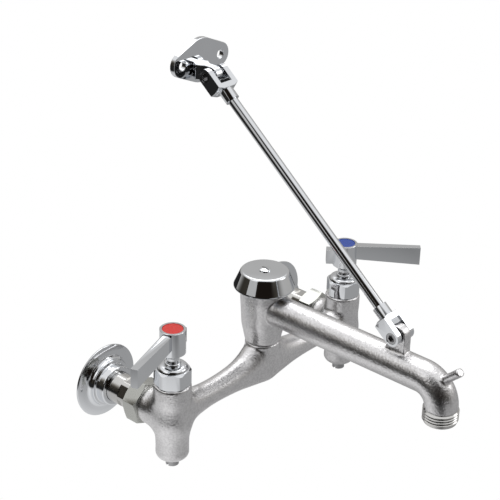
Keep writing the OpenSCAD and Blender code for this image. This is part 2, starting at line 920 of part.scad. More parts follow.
module cap_shell(inset) {
    rotate_extrude() polygon([
        [0, cap_rim - cap_band], [cap_r - inset, cap_rim - cap_band],
        [cap_r - inset, cap_rim], [cap_top_r - inset, cap_top - cap_chamfer - inset],
        [cap_top_r - cap_chamfer - inset, cap_top - inset], [0, cap_top - inset]]);
}

module breaker_cap() {
    color(polished) at_riser() difference() {
        cap_shell(0);
        cap_shell(cap_wall);
        post(cap_r - cap_wall, cap_rim - cap_band - over, cap_rim);
        post(cap_shank_r + gap, cap_rim, cap_top + over);
    }
}

module cap_screw() {
    color(polished) at_riser() difference() {
        union() {
            intersection() {
                post(cap_screw_r, cap_top, cap_top + cap_screw_h);
                translate([0, 0, cap_top + cap_screw_h - cap_screw_r * 2])
                    sphere(r = cap_screw_r * 2);
            }
            post(cap_shank_r, post_top - cap_shank + gap, cap_top + over * half);
        }
        block(slot_w, cap_screw_r * 3, cap_top + cap_screw_h * half, cap_top + cap_screw_h * 2);
    }
}

module at_low_pin() {
    translate([0, -lug_y, lug_z]) rotate([brace_tilt, 0, 0]) rotate([-quarter, 0, 0]) children();
}

module at_up_pin() {
    translate([0, -up_pin_out, up_pin_z]) children();
}

module fork(wide, slot, play) {
    difference() {
        union() {
            along_x() post(cheek_r, -wide * half, wide * half);
            block(wide, cheek_r * 2, 0, fork_shoulder);
            post(fork_neck_r, fork_shoulder - over, fork_end);
        }
        translate([0, 0, -cheek_r - over]) block(slot, cheek_r * 3, 0, fork_deep + cheek_r + over);
        along_x() post(pin_r + fit, -wide, wide);
        along_x() post(pin_head_r + fit, -wide, -wide * half + pin_head_h + gap);
        post(rod_r + fit, fork_shoulder - play, fork_end + over);
    }
}

module pin_screw(wide) {
    along_x() difference() {
        union() {
            post(pin_head_r, -wide * half + gap, -wide * half + gap + pin_head_h);
            post(pin_r, -wide * half + gap, wide * half - gap);
        }
        hex_bar(socket_af, -wide * half - over, -wide * half + gap + socket_d);
    }
}

module lower_fork() {
    color(polished) at_low_pin() fork(low_fork_w, low_fork_gap, rod_play);
}

module lower_pin() {
    color(steel) at_low_pin() pin_screw(low_fork_w);
}

module brace_rod() {
    color(polished) at_low_pin() post(rod_r, fork_shoulder, brace_long - fork_shoulder);
}

module upper_fork() {
    color(polished) at_low_pin() translate([0, 0, brace_long]) rotate([0, quarter * 2, 0])
        mirror([1, 0, 0]) fork(up_fork_w, up_fork_gap, rod_play);
}

module upper_pin() {
    color(steel) at_up_pin() pin_screw(up_fork_w);
}

module plate_outline() {
    reach_x = plate_pitch * half;
    cs = (plate_r - plate_end_r) / reach_x;
    sn = sqrt(1 - cs * cs);
    circle(r = plate_r);
    for (s = [hot, cold]) {
        translate([s * reach_x, 0]) circle(r = plate_end_r);
        polygon([[0, 0], [s * plate_r * cs, plate_r * sn],
            [s * (reach_x + plate_end_r * cs), plate_end_r * sn],
            [s * (reach_x + plate_end_r * cs), -plate_end_r * sn],
            [s * plate_r * cs, -plate_r * sn]]);
    }
}

module wall_plate() {
    color(polished) difference() {
        union() {
            translate([0, 0, plate_z]) rotate([quarter, 0, 0])
                linear_extrude(height = plate_t) plate_outline();
            at_up_pin() along_x() post(tongue_r, -tongue_t * half, tongue_t * half);
            translate([-tongue_t * half, -up_pin_out, up_pin_z - tongue_r])
                cube([tongue_t, up_pin_out - plate_t * half, tongue_r * 2]);
            translate([0, 0, up_pin_z - tongue_r]) linear_extrude(height = tongue_r * 2)
                polygon([[-tongue_root * half, -plate_t + gap], [tongue_root * half, -plate_t + gap],
                    [tongue_t * half, -up_pin_out + cheek_r + over],
                    [-tongue_t * half, -up_pin_out + cheek_r + over]]);
        }
        at_up_pin() along_x() post(pin_r + fit, -up_fork_w, up_fork_w);
        for (s = [hot, cold]) translate([s * plate_pitch * half, 0, plate_z])
            rotate([quarter, 0, 0]) post(plate_hole_r, -over, plate_t + over);
    }
}

valve_body();
swivel_seal();
retaining_ring();
escutcheon(hot);  // hot_escutcheon
shank(hot);  // hot_shank
coupling_nut(hot);  // hot_coupling_nut
washer(hot);  // hot_washer
bonnet(hot);  // hot_bonnet
packing_nut(hot);  // hot_packing_nut
sleeve(hot);  // hot_sleeve
fixed_disc(hot);  // hot_fixed_disc
seat_gasket(hot);  // hot_seat_gasket
stem(hot, hot_turn);  // hot_stem
moving_disc(hot, hot_turn);  // hot_moving_disc
lever(hot, hot_turn);  // hot_lever
lever_screw(hot);  // hot_lever_screw
index(hot, "red");  // hot_index
stop_plug(hot);  // hot_stop_plug
stop_stem(hot);  // hot_stop_stem
stop_ring(hot);  // hot_stop_ring
escutcheon(cold);  // cold_escutcheon
shank(cold);  // cold_shank
coupling_nut(cold);  // cold_coupling_nut
washer(cold);  // cold_washer
bonnet(cold);  // cold_bonnet
packing_nut(cold);  // cold_packing_nut
sleeve(cold);  // cold_sleeve
fixed_disc(cold);  // cold_fixed_disc
seat_gasket(cold);  // cold_seat_gasket
stem(cold, cold_turn);  // cold_stem
moving_disc(cold, cold_turn);  // cold_moving_disc
lever(cold, cold_turn);  // cold_lever
lever_screw(cold);  // cold_lever_screw
index(cold, "blue");  // cold_index
stop_plug(cold);  // cold_stop_plug
stop_stem(cold);  // cold_stop_stem
stop_ring(cold);  // cold_stop_ring
spout();
breaker_seat();
air_seat();
breaker_float();
float_gasket();
breaker_cap();
cap_screw();
lower_fork();
lower_pin();
brace_rod();
upper_fork();
upper_pin();
wall_plate();
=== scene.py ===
# Wall-mounted service sink faucet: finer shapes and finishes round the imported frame.
# Sizes are in millimetres, and mm turns them into metres where a mesh is made.
import json
import math

import bmesh
import bpy
from mathutils import Matrix, Vector


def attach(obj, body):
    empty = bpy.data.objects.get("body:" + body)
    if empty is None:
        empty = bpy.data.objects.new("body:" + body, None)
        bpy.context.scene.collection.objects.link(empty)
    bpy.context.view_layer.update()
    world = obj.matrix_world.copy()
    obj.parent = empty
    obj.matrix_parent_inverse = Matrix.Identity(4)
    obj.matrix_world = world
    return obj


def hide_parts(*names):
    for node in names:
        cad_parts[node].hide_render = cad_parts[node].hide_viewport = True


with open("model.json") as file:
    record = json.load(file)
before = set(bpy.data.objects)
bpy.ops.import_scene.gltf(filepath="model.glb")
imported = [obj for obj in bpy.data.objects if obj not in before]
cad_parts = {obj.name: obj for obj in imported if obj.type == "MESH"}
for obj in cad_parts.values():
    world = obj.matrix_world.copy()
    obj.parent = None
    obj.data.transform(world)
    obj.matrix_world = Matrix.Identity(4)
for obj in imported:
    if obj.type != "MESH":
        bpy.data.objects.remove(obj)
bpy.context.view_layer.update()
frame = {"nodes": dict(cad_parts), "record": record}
record = frame["record"]
bodyOf = {node: body for body, nodes in record["behaviour"]["bodies"].items() for node in nodes}
slotOf = {part["node"]: part["material_slot"] for part in record["subparts"]}
mm = 0.001
print("frame loaded,", len(bodyOf), "nodes")


# Materials
def toLinear(hexText):
    # the sRGB curve
    parts = [int(hexText[i : i + 2], 16) / 255 for i in (1, 3, 5)]
    return tuple(c / 12.92 if c <= 0.04045 else ((c + 0.055) / 1.055) ** 2.4 for c in parts) + (1.0,)


def addNode(tree, kind, inputs=None, links=None, **settings):
    # a link comes from a socket, or from the first output of a node
    node = tree.nodes.new(kind)
    for key, value in settings.items():
        setattr(node, key, value)
    for key, value in (inputs or {}).items():
        node.inputs[key].default_value = value
    for key, source in (links or {}).items():
        socket = source.outputs[0] if isinstance(source, bpy.types.Node) else source
        tree.links.new(socket, node.inputs[key])
    return node


# colour sockets of a Mix node, which has several of each name
mixLow, mixHigh, mixResult = 6, 7, 2
plainWhite = (1, 1, 1, 1)


def newMaterial(name):
    material = bpy.data.materials.new(name)
    material.use_nodes = True
    tree = material.node_tree
    tree.nodes.clear()
    shader = addNode(tree, "ShaderNodeBsdfPrincipled")
    addNode(tree, "ShaderNodeOutputMaterial", links={"Surface": shader})
    place = addNode(tree, "ShaderNodeTexCoord").outputs["Object"]
    return material, tree, shader, place


# what a finish is unless it says otherwise
metalUsual = {"grainDetail": 3.0, "cloudDetail": 2.0, "cloudMm": 14, "stretch": (1, 1, 1), "speck": None}
mouldedUsual = {
    "skinMm": 0.5, "skinDetail": 2.0, "cloudMm": 6, "cloudDetail": 3.0, "roughSpan": 0.05, "coat": 0.0,
}


def metal(finishSet):
    # fine grain makes the bump, wide clouds shift the tone, and both together the gloss
    look = {**metalUsual, **finishSet}
    material, tree, shader, place = newMaterial(look["name"])
    shader.inputs["Metallic"].default_value = 1.0
    drawn = addNode(tree, "ShaderNodeMapping", {"Scale": look["stretch"]}, {"Vector": place})
    grain = addNode(tree, "ShaderNodeTexNoise",
                    {"Scale": 1 / (look["grainMm"] * mm), "Detail": look["grainDetail"]}, {"Vector": drawn})
    cloud = addNode(tree, "ShaderNodeTexNoise",
                    {"Scale": 1 / (look["cloudMm"] * mm), "Detail": look["cloudDetail"]}, {"Vector": drawn})
    tone = cloud
    if look["speck"]:
        speck = look["speck"]
        spots = addNode(tree, "ShaderNodeTexNoise",
                        {"Scale": 1 / (speck["sizeMm"] * mm), "Detail": look["cloudDetail"]},
                        {"Vector": place})
        clear = addNode(tree, "ShaderNodeMapRange", {"From Min": speck["from"], "From Max": speck["to"]},
                        {"Value": spots}, interpolation_type="SMOOTHSTEP")
        tone = addNode(tree, "ShaderNodeMath", {1: speck["share"]}, {0: clear, 2: cloud},
                       operation="MULTIPLY_ADD")
        tone = addNode(tree, "ShaderNodeMath", {1: speck["level"]}, {0: tone}, operation="SUBTRACT")
    tint = addNode(tree, "ShaderNodeMix", {mixLow: toLinear(look["dark"]), mixHigh: toLinear(look["light"])},
                   {"Factor": tone}, data_type="RGBA")
    both = addNode(tree, "ShaderNodeMath", links={0: grain, 1: cloud}, operation="MULTIPLY")
    gloss = addNode(tree, "ShaderNodeMapRange", {"To Min": look["rough"][0], "To Max": look["rough"][1]},
                    {"Value": both})
    tree.links.new(tint.outputs[mixResult], shader.inputs["Base Color"])
    tree.links.new(gloss.outputs[0], shader.inputs["Roughness"])
    if look["bumpMm"]:
        bump = addNode(tree, "ShaderNodeBump", {"Strength": 1.0, "Distance": look["bumpMm"] * mm},
                       {"Height": grain})
        tree.links.new(bump.outputs[0], shader.inputs["Normal"])
    return material


def moulded(finishSet):
    # wide clouds shift tone and gloss a little, over a faint skin
    look = {**mouldedUsual, **finishSet}
    material, tree, shader, place = newMaterial(look["name"])
    shader.inputs["Coat Weight"].default_value = look["coat"]
    cloud = addNode(tree, "ShaderNodeTexNoise",
                    {"Scale": 1 / (look["cloudMm"] * mm), "Detail": look["cloudDetail"]}, {"Vector": place})
    tint = addNode(tree, "ShaderNodeMix", {mixLow: toLinear(look["dark"]), mixHigh: toLinear(look["light"])},
                   {"Factor": cloud}, data_type="RGBA")
    rough, span = look["rough"], look["roughSpan"]
    gloss = addNode(tree, "ShaderNodeMapRange", {"To Min": rough - span, "To Max": rough + span},
                    {"Value": cloud})
    skin = addNode(tree, "ShaderNodeTexNoise",
                   {"Scale": 1 / (look["skinMm"] * mm), "Detail": look["skinDetail"]}, {"Vector": place})
    bump = addNode(tree, "ShaderNodeBump", {"Strength": 1.0, "Distance": look["bumpMm"] * mm},
                   {"Height": skin})
    tree.links.new(tint.outputs[mixResult], shader.inputs["Base Color"])
    tree.links.new(gloss.outputs[0], shader.inputs["Roughness"])
    tree.links.new(bump.outputs[0], shader.inputs["Normal"])
    return material


# Brass cast in sand, tumbled and chrome plated: a soft satin grey, pebbled and finely speckled.
# The sand's own grain is about 0.4 mm, and is drawn at 1.6 mm so that it shows.
castChrome = {
    "name": "satinChromeOnSandCastBrass", "light": "#E8E7E8", "dark": "#D1D0D1", "rough": (0.25, 0.43),
    "grainMm": 1.6, "bumpMm": 0.24,
    "speck": {"sizeMm": 1.7, "from": 0.32, "to": 0.68, "share": 0.75, "level": 0.3},
}
# Brass buffed before bright chrome: almost a mirror, with soft clouds left by the wheel.
brightChrome = {
    "name": "brightChromePlate", "light": "#E2E4E7", "dark": "#D8DADD", "rough": (0.03, 0.08),
    "grainMm": 3.0, "bumpMm": 0, "cloudMm": 25,
}
# Bar turned on a lathe and plated: fine rings round the inlet axis that blur its highlights.
# The cutter's feed is about 0.1 mm, and is drawn at 0.7 mm so that it shows.
turnedNickel = {
    "name": "turnedNickelPlate", "light": "#D6D5D3", "dark": "#C6C5C3", "rough": (0.12, 0.26),
    "grainMm": 0.7, "bumpMm": 0.012, "stretch": (0.02, 1, 0.02),
}
# Forged nut, tumbled and nickel plated: duller and warmer than the chrome beside it.
forgedNickel = {
    "name": "forgedNickelPlate", "light": "#C8C9C5", "dark": "#B7B8B3", "rough": (0.22, 0.38),
    "grainMm": 1.4, "bumpMm": 0.03,
}
# Free-cutting brass, machined and left bare: warm yellow with faint tool marks.
machinedBrass = {
    "name": "machinedBrass", "light": "#C9A55A", "dark": "#B08C45", "rough": (0.22, 0.38),
    "grainMm": 0.9, "bumpMm": 0.02, "stretch": (0.1, 0.1, 1),
}
# Stainless screw stock, machined: a darker grey with a fine, even grain.
machinedSteel = {
    "name": "machinedStainlessSteel", "light": "#B2B2B3", "dark": "#9C9C9E", "rough": (0.18, 0.34),
    "grainMm": 0.8, "bumpMm": 0.01,
}
# Moulded nitrile: matt black with a faint skin.
nitrile = {
    "name": "nitrileRubber", "light": "#1B1B1C", "dark": "#121213", "rough": 0.62, "bumpMm": 0.02,
}
# Alumina, sintered and lapped flat: smooth ivory white.
alumina = {
    "name": "lappedAluminaCeramic", "light": "#EFEDE6", "dark": "#E4E1D8", "rough": 0.12, "bumpMm": 0.004,
}
# Acrylic discs, printed under a clear face: even, strong colour with a low sheen.
clearFace = {"rough": 0.36, "bumpMm": 0.004, "coat": 0.05}
redDisc = {"name": "redAcrylic", "light": "#D9251A", "dark": "#CE2016", **clearFace}
blueDisc = {"name": "blueAcrylic", "light": "#0F41A0", "dark": "#0C3890", **clearFace}
finish = {
    "cast_chrome": metal(castChrome),
    "polished_chrome": metal(brightChrome),
    "turned_nickel": metal(turnedNickel),
    "dark_nickel": metal(forgedNickel),
    "brass": metal(machinedBrass),
    "steel": metal(machinedSteel),
    "rubber": moulded(nitrile),
    "ceramic": moulded(alumina),
    "red_index": moulded(redDisc),
    "blue_index": moulded(blueDisc),
}
for node, solid in frame["nodes"].items():
    for seat in solid.material_slots:
        seat.link = "OBJECT"
        seat.material = finish[slotOf[node]]
print("materials made,", len(finish))


# Mesh helpers
meshSet = {
    "weld": 0.002,  # corners nearer than this are one
    "sliver": 0.001,  # edges shorter than this are nothing
    "sharp": 32,  # degrees from which an edge is sharp, and gets a small round
    "castSharp": 60,  # the same on a rough casting
    "edgeSegments": 3,
    "around": 120,  # steps of a turned piece
    "aroundLarge": 160,  # steps of the discs and the cap, which show theirs most
    "rub": 0.5,  # how far one round of rubbing takes a corner to its neighbours' middle
}
hexagon = {"sides": 6, "step": 60}  # step in degrees
layout = {"inletPitch": 203.2, "axisOut": 74.6}  # inlet to inlet, and wall to the valve axes
sides = {"hot": -1, "cold": 1}  # which way each lies from the middle, along X


def smoothShade(mesh, degrees=meshSet["sharp"]):
    for face in mesh.polygons:
        face.use_smooth = True
    mesh.set_sharp_from_angle(angle=math.radians(degrees))


def meshFrom(bm, name, degrees=meshSet["sharp"]):
    bmesh.ops.recalc_face_normals(bm, faces=bm.faces)
    mesh = bpy.data.meshes.new(name)
    bm.to_mesh(mesh)
    bm.free()
    smoothShade(mesh, degrees)
    return mesh


def addPiece(name, mesh, slot, body):
    piece = bpy.data.objects.new(name, mesh)
    bpy.context.scene.collection.objects.link(piece)
    mesh.materials.clear()
    mesh.materials.append(finish[slot])
    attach(piece, body)
    return piece


def softenEdges(piece, widthMm):
    bevel = piece.modifiers.new("edge", "BEVEL")
    bevel.width = widthMm * mm
    bevel.segments = meshSet["edgeSegments"]
    bevel.limit_method = "ANGLE"
    bevel.angle_limit = math.radians(meshSet["sharp"])
    bevel.harden_normals = True
    return piece


def dress(node, name, bm, edgeMm=0, slot=None, degrees=meshSet["sharp"]):
    # a piece in the place of a CAD node, on the node's body and in its finish
    piece = addPiece(name, meshFrom(bm, name, degrees), slot or slotOf[node], bodyOf[node])
    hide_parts(node)
    return softenEdges(piece, edgeMm) if edgeMm else piece


def nodeCopy(node):
    # the CAD node's triangles, welded
    bm = bmesh.new()
    bm.from_mesh(frame["nodes"][node].data)
    bm.transform(frame["nodes"][node].matrix_world)
    bmesh.ops.remove_doubles(bm, verts=bm.verts, dist=meshSet["weld"] * mm)
    bmesh.ops.dissolve_degenerate(bm, edges=bm.edges, dist=meshSet["sliver"] * mm)
    return bm


def baked(piece):
    # the modifiers' result becomes the mesh
    result = bpy.data.meshes.new_from_object(piece.evaluated_get(bpy.context.evaluated_depsgraph_get()))
    piece.modifiers.clear()
    piece.data = result
    return piece


def carve(piece, bm, operation):
    # cuts the piece by a closed shape, or keeps what is inside it
    bmesh.ops.recalc_face_normals(bm, faces=bm.faces)
    mesh = bpy.data.meshes.new("cutter")
    bm.to_mesh(mesh)
    bm.free()
    cutter = bpy.data.objects.new("cutter", mesh)
    bpy.context.scene.collection.objects.link(cutter)
    cut = piece.modifiers.new("cut", "BOOLEAN")
    cut.operation = operation
    cut.object = cutter
    cut.solver = "EXACT"
    baked(piece)
    bpy.data.objects.remove(cutter)
    return piece


def castSkin(piece, settings, blendAt):
    # a skin without seams, all of it rubbed a little and its blends rubbed a lot
    remesh = piece.modifiers.new("cast", "REMESH")
    remesh.mode = "VOXEL"
    remesh.voxel_size = settings["voxel"] * mm
    baked(piece)
    bm = bmesh.new()
    bm.from_mesh(piece.data)
    level = {v: blendAt(v.co / mm) for v in bm.verts}
    for share, rounds in settings["rubbing"]:
        verts = [v for v in bm.verts if level[v] >= share]
        for turn in range(rounds):
            bmesh.ops.smooth_vert(bm, verts=verts, factor=meshSet["rub"],
                                  use_axis_x=True, use_axis_y=True, use_axis_z=True)
    bm.to_mesh(piece.data)
    bm.free()
    smoothShade(piece.data, meshSet["castSharp"])
    return piece


def fade(value, low, high):
    # 0 up to low, 1 from high
    return min(1.0, max(0.0, (value - low) / (high - low)))


def arc(r, h, size, start, end, count=8):
    # points of a round corner about (r, h), from one angle to the other in degrees
    angles = [math.radians(start + (end - start) * i / count) for i in range(count + 1)]
    return [(r + size * math.cos(a), h + size * math.sin(a)) for a in angles]


def spun(profile, steps=meshSet["around"]):
    # profile is a list of (radius, height), spun about Z; a bored profile is closed
    bm = bmesh.new()
    verts = [bm.verts.new((r * mm, 0, h * mm)) for r, h in profile]
    edges = [bm.edges.new((a, b)) for a, b in zip(verts, verts[1:])]
    if profile[0][0] > 0 and profile[-1][0] > 0:
        edges.append(bm.edges.new((verts[-1], verts[0])))
    bmesh.ops.spin(bm, geom=verts + edges, cent=(0, 0, 0), axis=(0, 0, 1), angle=2 * math.pi,
                   steps=steps, use_merge=True)
    bmesh.ops.remove_doubles(bm, verts=bm.verts, dist=meshSet["sliver"] * mm)
    return bm


def sawnFlats(bm, across, turn):
    # wrench flats over the whole length, turned by so many degrees
    for flat in range(hexagon["sides"]):
        angle = math.radians(turn + hexagon["step"] * flat + hexagon["step"] / 2)
        out = Vector((math.cos(angle), math.sin(angle), 0))
        cut = bmesh.ops.bisect_plane(bm, geom=bm.verts[:] + bm.edges[:] + bm.faces[:],
                                     plane_co=out * across / 2 * mm, plane_no=out, clear_outer=True)
        rim = [part for part in cut["geom_cut"] if isinstance(part, bmesh.types.BMEdge)]
        bmesh.ops.edgeloop_fill(bm, edges=rim)
    return bm


def milledFlats(bm, across, low, high):
    # wrench flats between two heights
    for v in bm.verts:
        angle = math.degrees(math.atan2(v.co.y, v.co.x))
        limit = across / 2 / math.cos(math.radians(angle % hexagon["step"] - hexagon["step"] / 2)) * mm
        if low < v.co.z / mm < high and v.co.xy.length > limit:
            v.co.xy *= limit / v.co.xy.length
    return bm


def at(place, bm):
    # moves a shape from the origin to its place
    bm.transform(place)
    return bm


def valvePlace(side, height=0.0):
    return Matrix.Translation(Vector((side * layout["inletPitch"] / 2, -layout["axisOut"], height)) * mm)


def inletPlace(side):
    # local Z runs out from the wall
    inlet = Matrix.Translation((side * layout["inletPitch"] / 2 * mm, 0, 0))
    return inlet @ Matrix.Rotation(math.pi / 2, 4, "X")


riserPlace = Matrix.Translation((0, -layout["axisOut"] * mm, 0))


# Valve body: the CAD casting, a smooth bridge between its barrels and a swelling on each
bodySet = {
    # distance from the middle, top, bottom and half depth of the bridge
    "bridge": [
        (0, 24.9, -12.2, 13.8), (9, 24.9, -12.2, 13.8), (14, 23.6, -11.9, 13.4), (18, 20.8, -11.3, 12.8),
        (23, 18.0, -10.4, 12.1), (29, 15.9, -9.4, 11.4), (37, 14.4, -8.6, 10.9), (48, 13.3, -8.1, 10.5),
        (60, 12.8, -7.9, 10.3), (72, 13.0, -8.2, 10.6), (80, 13.9, -9.1, 11.5), (86, 15.0, -10.2, 12.6),
        (100, 15.0, -10.2, 12.6),
    ],
    "bridgeAround": 40,
    "swellWide": 16.4, "swellTall": 20.0, "swellAt": -4.0, "swellAround": 48, "swellRows": 24,
    "voxel": 0.85,
    # rounds of rubbing for places whose blend is at least so much
    "rubbing": ((0.0, 4), (0.2, 24), (0.5, 40), (0.8, 110)),
    # heights, depths and radii between which the blends of a barrel and of the riser fade
    "barrelsFrom": 60, "barrelFoot": (-33, -27), "barrelRim": (12, 20), "inletRim": (-58, -50),
    "barrelBore": (12.5, 13.5), "riserSeam": (17, 22), "riserBore": (11, 12), "riserFloor": (-4, 0),
}


def addBridge(bm):
    # one ring at each station along X, joined to the next
    rows = bodySet["bridge"]
    stations = [(-x, top, low, wide) for x, top, low, wide in reversed(rows[1:])] + rows
    across = Matrix.Rotation(math.pi / 2, 4, "Y")
    loops = []
    for x, top, low, wide in stations:
        middle = Matrix.Translation(Vector((x, -layout["axisOut"], (top + low) / 2)) * mm)
        size = Matrix.Diagonal((1, wide * mm, (top - low) / 2 * mm, 1))
        ring = bmesh.ops.create_circle(bm, cap_ends=abs(x) == rows[-1][0], radius=1.0,
                                       segments=bodySet["bridgeAround"], matrix=middle @ size @ across)
        loops.append(list({edge for v in ring["verts"] for edge in v.link_edges}))
    for loop, following in zip(loops, loops[1:]):
        bmesh.ops.bridge_loops(bm, edges=loop + following)


def bodyBlend(spot):
    # 1 in the blends of the casting, 0 at the machined rims and bores
    depth = spot.y + layout["axisOut"]
    if abs(spot.x) > bodySet["barrelsFrom"]:
        reach = math.hypot(abs(spot.x) - layout["inletPitch"] / 2, depth)
        return min(fade(spot.z, *bodySet["barrelFoot"]), 1 - fade(spot.z, *bodySet["barrelRim"]),
                   1 - fade(spot.y, *bodySet["inletRim"]), fade(reach, *bodySet["barrelBore"]))
    reach = math.hypot(spot.x, depth)
    belly = max(fade(reach, *bodySet["riserBore"]), 1 - fade(spot.z, *bodySet["riserFloor"]))
    return min(belly, 1 - fade(spot.z, *bodySet["riserSeam"]))


casting = nodeCopy("valve_body")
addBridge(casting)
wide = bodySet["swellWide"] * mm
swelling = Matrix.Diagonal((wide, wide, bodySet["swellTall"] * mm, 1))
for side in sides.values():
    bmesh.ops.create_uvsphere(casting, u_segments=bodySet["swellAround"], v_segments=bodySet["swellRows"],
                              radius=1.0, matrix=valvePlace(side, bodySet["swellAt"]) @ swelling)
castSkin(dress("valve_body", "valveBodyCasting", casting), bodySet, bodyBlend)
print("valve body cast")


# Spout: the CAD casting without its plain thread, with a saddle across the pail hook
spoutSet = {
    "voxel": 0.8, "rubbing": ((0.0, 4), (0.5, 20), (0.9, 30)),
    # radius round the housing, way out along the tube, and heights between which its blend fades
    "housingSide": (19.5, 21), "tubeOut": (40, 46), "tubeFoot": (34, 38), "tubeTop": (68, 71),
}
hookSet = {
    # foot and direction of the hook, its reach sideways, and the start of its rubbed tip
    "root": (0, -228.0, 43.3), "axis": (0, 0.669, 0.743), "r": 6, "tipFrom": 20, "tipBlend": 0.8,
    "saddleAt": 18.6, "saddleHalf": 2.6, "saddleDeep": 1.3,
}
hoseSet = {
    # ends of the thread, how far its core runs up into the tube, and the edge of the core
    "outletY": -246.4, "low": 25.9, "top": 36.7, "lap": 0.6, "edge": 0.25,
    "boreR": 9.6, "footR": 11.9, "rootR": 12.3, "crestR": 13.4,
    "pitch": 2.21, "turns": 4.4, "start": 0.5, "stepsInTurn": 64, "sharp": 20,
    # where the crest begins, where it ends and where the flank is down again
    "pitchShares": (0.36, 0.6, 0.96),
    # cylinder that cuts the plain thread off the casting
    "cutR": 20, "cutTall": 30, "cutAround": 48,
}
hookRoot, hookAxis = Vector(hookSet["root"]), Vector(hookSet["axis"])
hookUp = Vector((0, -hookAxis.z, hookAxis.y))


def spoutBlend(spot):
    # 1 where the tube leaves the housing, 0 at the rims and the lug
    hook = spot - hookRoot
    if math.hypot(hook.x, hook.dot(hookUp)) < hookSet["r"] and hook.dot(hookAxis) > hookSet["tipFrom"]:
        return hookSet["tipBlend"]
    out = -spot.y - layout["axisOut"]
    side = math.hypot(spot.x, out)
    return min(fade(side, *spoutSet["housingSide"]), 1 - fade(side, *spoutSet["tubeOut"]),
               fade(spot.z, *spoutSet["tubeFoot"]), 1 - fade(spot.z, *spoutSet["tubeTop"]))


spout = dress("spout", "spoutCasting", nodeCopy("spout"))
cutR, cutTall = hoseSet["cutR"] * mm, hoseSet["cutTall"] * mm
plainThread = bmesh.new()
bmesh.ops.create_cone(plainThread, cap_ends=True, segments=hoseSet["cutAround"], radius1=cutR,
                      radius2=cutR, depth=cutTall)
bmesh.ops.translate(plainThread, verts=plainThread.verts,
                    vec=(0, hoseSet["outletY"] * mm, hoseSet["top"] * mm - cutTall / 2))
castSkin(carve(spout, plainThread, "DIFFERENCE"), spoutSet, spoutBlend)
for v in spout.data.vertices:
    # the saddle sinks into the upper half of the hook
    spot = v.co / mm - hookRoot
    share = (spot.dot(hookAxis) - hookSet["saddleAt"]) / hookSet["saddleHalf"]
    lift = spot.dot(hookUp)
    if abs(share) < 1 and lift > 0 and math.hypot(spot.x, lift) < hookSet["r"]:
        v.co -= hookUp * math.cos(share * math.pi / 2) ** 2 * hookSet["saddleDeep"] * mm
print("spout cast")

# Hose thread: a plain core, and one ridge wound up round it
outletPlace = Matrix.Translation((0, hoseSet["outletY"] * mm, 0))
boreR, rootR, crestR, footR = (hoseSet[key] for key in ("boreR", "rootR", "crestR", "footR"))
low, high, pitch = hoseSet["low"], hoseSet["top"] + hoseSet["lap"], hoseSet["pitch"]
core = at(outletPlace, spun([(boreR, low), (rootR, low), (rootR, high), (boreR, high)]))
corePiece = addPiece("hoseThreadCore", meshFrom(core, "hoseThreadCore"), "turned_nickel", "spout_group")
softenEdges(corePiece, hoseSet["edge"])
rise, fall, end = (share * pitch for share in hoseSet["pitchShares"])
start = low + hoseSet["start"]
section = [(footR, 0), (rootR, 0), (crestR, rise), (crestR, fall), (rootR, end), (footR, end)]
ridge = bmesh.new()
face = ridge.faces.new([ridge.verts.new((r * mm, 0, (h + start) * mm)) for r, h in section])
bmesh.ops.spin(ridge, geom=[face, *face.edges, *face.verts], cent=(0, 0, 0), axis=(0, 0, 1),
               angle=2 * math.pi * hoseSet["turns"], steps=int(hoseSet["stepsInTurn"] * hoseSet["turns"]),
               dvec=(0, 0, pitch * mm / hoseSet["stepsInTurn"]))
ridgeMesh = meshFrom(at(outletPlace, ridge), "hoseThreadHelix", hoseSet["sharp"])
addPiece("hoseThreadHelix", ridgeMesh, "turned_nickel", "spout_group")
print("hose thread cut")


# Escutcheons: a sloped disc with two hub steps, hollow at the back
escutcheonSet = {
    "bore": 12.6, "hollow": 1.2, "rimR": 27.0, "foot": 0.3,
    "discR": 30.0, "discRound": 0.7, "discRoundAt": 0.9, "discTurn": 75,
    "slope": [(28.4, 1.9), (24.5, 2.7)],
    "hubR": 19.0, "hubFillet": 3.6, "hubFilletAt": 6.3, "hubRound": 0.8, "hubRoundAt": 6.5, "hubTurn": 80,
    "neckR": 16.2, "neckFillet": 0.9, "neckFilletAt": 8.2, "neckRound": 1.3, "neckSteps": 4,
    "filletFrom": 262, "top": 15.0,
}


def escutcheonProfile(disc):
    bore, rim, hollow, steep = disc["bore"], disc["rimR"], disc["hollow"], disc["filletFrom"]
    edge, hub, neck = disc["discRound"], disc["hubRound"], disc["neckRound"]
    hubFillet, neckFillet = disc["hubFillet"], disc["neckFillet"]
    return ([(bore, hollow), (rim, hollow), (rim, 0), (disc["discR"] - disc["foot"], 0)]
            + arc(disc["discR"] - edge, disc["discRoundAt"], edge, 0, disc["discTurn"])
            + disc["slope"]
            + arc(disc["hubR"] + hubFillet, disc["hubFilletAt"], hubFillet, steep, 180)
            + arc(disc["hubR"] - hub, disc["hubRoundAt"], hub, 0, disc["hubTurn"])
            + arc(disc["neckR"] + neckFillet, disc["neckFilletAt"], neckFillet, steep, 180, disc["neckSteps"])
            + arc(disc["neckR"] - neck, disc["top"] - neck, neck, 0, 90)
            + [(bore, disc["top"])])


for label, side in sides.items():
    disc = spun(escutcheonProfile(escutcheonSet), meshSet["aroundLarge"])
    dress(label + "_escutcheon", label + "Escutcheon", at(inletPlace(side), disc))


# Inlet shanks: turned bar with a threaded socket, a shoulder for the nut and wrench flats
shankSet = {
    "boreR": 7.2, "supplyR": 9.2, "supplyDeep": 17.0, "outR": 12.3,
    "tailR": 13.2, "tailFrom": 40.3, "tailTo": 43.1,
    "across": 22.6, "flatsFrom": 26.6, "flatsTo": 35.6, "flatEnd": 0.06, "edge": 0.25,
}


